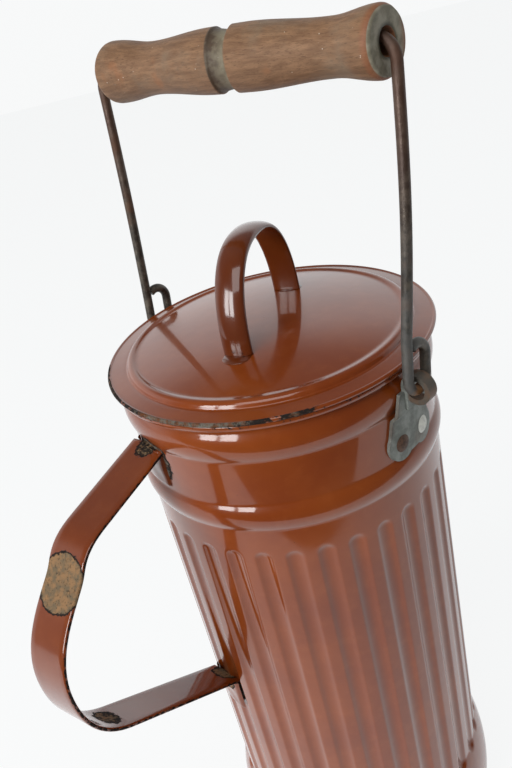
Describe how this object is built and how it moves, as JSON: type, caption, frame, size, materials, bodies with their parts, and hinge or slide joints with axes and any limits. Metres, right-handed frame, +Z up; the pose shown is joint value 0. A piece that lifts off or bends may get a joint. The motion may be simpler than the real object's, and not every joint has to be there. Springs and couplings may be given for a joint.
{
  "type": "hot water can",
  "caption": "Tall brown enamelled hot water can with fluted sides, a lift-off domed lid, a fixed side strap handle and a wire bail with a turned wooden grip.",
  "frame": {"origin": "centre of the foot, on the plane it stands on", "axes": "+Z up along the can's axis, +X towards one of the two bail ears, -Y towards the side handle"},
  "size_m": [0.1714, 0.2293, 0.4515],
  "materials": {
    "enamel": "glossy",
    "ear_sheet": "weathered",
    "iron": "rusty",
    "white_rivet": "dull",
    "bail_iron": "dark worn",
    "grip_wood": "dry worn"
  },
  "bodies": {
    "can": {"can_shell": "enamel", "rim_wire": "iron", "base_pan": "enamel", "side_handle": "enamel", "ear_right": "ear_sheet", "ear_left": "ear_sheet", "ear_rivets_iron": "iron", "ear_rivet_white": "white_rivet"},
    "lid": {"lid_shell": "enamel", "lid_collar": "enamel", "lid_handle": "enamel"},
    "bail": {"bail_wire": "bail_iron"},
    "grip": {"grip": "grip_wood"}
  },
  "joints": [
    {"name": "lid_lift", "type": "slide", "parent": "can", "child": "lid", "axis": [0, 0, 1], "range_m": [0, 0.04]},
    {"name": "bail_swing", "type": "hinge", "parent": "can", "child": "bail", "pos_m": [0, 0, 0.3174], "axis": [1, 0, 0], "range_deg": [-99, 98]},
    {"name": "grip_spin", "type": "hinge", "parent": "bail", "child": "grip", "pos_m": [0, 0.00988, 0.43814], "axis": [0.9991, 0.0415, -0.0055], "continuous": true}
  ]
}
